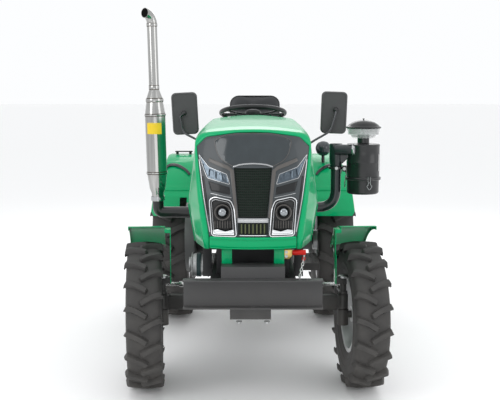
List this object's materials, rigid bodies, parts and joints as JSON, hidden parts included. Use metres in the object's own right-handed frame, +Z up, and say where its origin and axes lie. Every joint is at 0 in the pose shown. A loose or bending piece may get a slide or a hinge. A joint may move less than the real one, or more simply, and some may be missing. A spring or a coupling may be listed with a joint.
{
  "type": "compact farm tractor",
  "caption": "Compact farm tractor with opening hood, steered front wheels, upright exhaust, side air filter, seat and rear three-point hitch.",
  "frame": {"origin": "on the ground, at the middle of the tractor's length and width", "axes": "+Z up, +Y to the tractor's rear, +X to the tractor's own left"},
  "size_m": [1.2506, 2.555, 1.8031],
  "materials": {
    "green_paint": "gloss green paint",
    "black_paint": "satin black paint",
    "grey_paint": "dark grey cast and painted steel",
    "graphite": "graphite moulded plastic",
    "black_plastic": "black moulded plastic",
    "steel": "stainless steel",
    "cast": "cast iron",
    "zinc": "zinc-plated steel",
    "aluminium": "cast aluminium",
    "lamp": "chrome lamp housing",
    "clear": "clear bowl",
    "tyre": "tyre rubber",
    "rim": "silver painted wheel",
    "belt": "rubber belt",
    "seat": "dark grey vinyl",
    "dark_gloss": "dark smoked panel",
    "trim": "black rubber edging",
    "zinc_yellow": "yellow zinc plate",
    "red": "red paint"
  },
  "bodies": {
    "chassis": {"frame_rails": "black_paint", "front_bumper": "grey_paint", "hood_posts": "green_paint", "front_axle": "black_paint", "radiator": "black_paint", "engine_block": "cast", "belt_pulleys": "cast", "drive_belts": "belt", "alternator": "aluminium", "transmission": "cast", "drawbar": "black_paint", "side_panels": "green_paint", "dash_cowl": "green_paint", "steering_column": "black_paint", "exhaust_elbow": "black_paint", "exhaust_stack": "steel", "air_duct": "black_plastic", "air_filter": "black_paint", "precleaner": "clear", "floor_plates": "black_paint", "controls": "black_paint", "rear_fender_left": "green_paint", "rear_fender_right": "green_paint", "seat_base": "black_plastic", "seat_cushion": "seat", "seat_back": "seat", "mirrors": "black_plastic", "work_lamp": "black_plastic", "side_rod": "red", "fender_lip_left": "trim", "fender_lip_right": "trim", "grab_bar": "black_paint", "rod_bracket": "zinc_yellow", "chain": "zinc"},
    "hood": {"hood_shell": "green_paint", "mask": "graphite", "visor": "dark_gloss", "grille": "black_plastic", "headlamps": "lamp", "lamp_cores": "lamp", "brow_lamps": "lamp"},
    "knuckle_left": {"knuckle_left": "black_paint", "front_fender_left": "green_paint"},
    "knuckle_right": {"knuckle_right": "black_paint", "front_fender_right": "green_paint"},
    "tie_rod": {"tie_rod": "zinc"},
    "steering_wheel": {"steering_wheel": "black_plastic"},
    "wheel_front_left": {"tyre_front_left": "tyre", "rim_front_left": "rim"},
    "wheel_front_right": {"tyre_front_right": "tyre", "rim_front_right": "rim"},
    "wheel_rear_left": {"tyre_rear_left": "tyre", "rim_rear_left": "rim"},
    "wheel_rear_right": {"tyre_rear_right": "tyre", "rim_rear_right": "rim"},
    "lift_arms": {"lift_arms": "black_paint"},
    "lift_rods": {"lift_rods": "zinc"},
    "lower_links": {"lower_links": "black_paint"}
  },
  "joints": [
    {"name": "hood_hinge", "type": "hinge", "parent": "chassis", "child": "hood", "pos_m": [0, -0.095, 1.281], "axis": [-1, 0, 0], "range_deg": [0, 50]},
    {"name": "steering_wheel_turn", "type": "hinge", "parent": "chassis", "child": "steering_wheel", "pos_m": [0, 0.19, 1.279], "axis": [0, 0.225, 0.9744], "range_deg": [-350, 250]},
    {"name": "steer_left", "type": "hinge", "parent": "chassis", "child": "knuckle_left", "pos_m": [0.43, -0.795, 0.35], "axis": [0, 0, 1], "range_deg": [-35, 25]},
    {"name": "steer_right", "type": "hinge", "parent": "chassis", "child": "knuckle_right", "pos_m": [-0.43, -0.795, 0.35], "axis": [0, 0, 1], "range_deg": [-35, 25]},
    {"name": "tie_rod_end", "type": "hinge", "parent": "knuckle_left", "child": "tie_rod", "pos_m": [0.42216, -0.70534, 0.478], "axis": [0, 0, 1], "range_deg": [-25, 35]},
    {"name": "spin_front_left", "type": "hinge", "parent": "knuckle_left", "child": "wheel_front_left", "pos_m": [0.51468, -0.78759, 0.35], "axis": [0.9962, 0.0872, 0], "continuous": true},
    {"name": "spin_front_right", "type": "hinge", "parent": "knuckle_right", "child": "wheel_front_right", "pos_m": [-0.51468, -0.80241, 0.35], "axis": [0.9962, 0.0872, 0], "continuous": true},
    {"name": "spin_rear_left", "type": "hinge", "parent": "chassis", "child": "wheel_rear_left", "pos_m": [0.487, 0.655, 0.472], "axis": [1, 0, 0], "continuous": true},
    {"name": "spin_rear_right", "type": "hinge", "parent": "chassis", "child": "wheel_rear_right", "pos_m": [-0.487, 0.655, 0.472], "axis": [1, 0, 0], "continuous": true},
    {"name": "hitch_lift", "type": "hinge", "parent": "chassis", "child": "lift_arms", "pos_m": [0, 0.735, 0.77], "axis": [1, 0, 0], "range_deg": [-15, 30]},
    {"name": "lift_rod_swing", "type": "hinge", "parent": "lift_arms", "child": "lift_rods", "pos_m": [0, 0.97409, 0.79092], "axis": [1, 0, 0], "range_deg": [-30, 15]},
    {"name": "lower_link_swing", "type": "hinge", "parent": "chassis", "child": "lower_links", "pos_m": [0, 0.735, 0.4], "axis": [1, 0, 0], "range_deg": [-15, 30]}
  ],
  "couplings": [
    {"joint": "steer_left", "follows": "steering_wheel_turn", "ratio": 0.1},
    {"joint": "steer_right", "follows": "steering_wheel_turn", "ratio": 0.1},
    {"joint": "tie_rod_end", "follows": "steering_wheel_turn", "ratio": -0.1},
    {"joint": "lift_rod_swing", "follows": "hitch_lift", "ratio": -1},
    {"joint": "lower_link_swing", "follows": "hitch_lift", "ratio": 1}
  ]
}
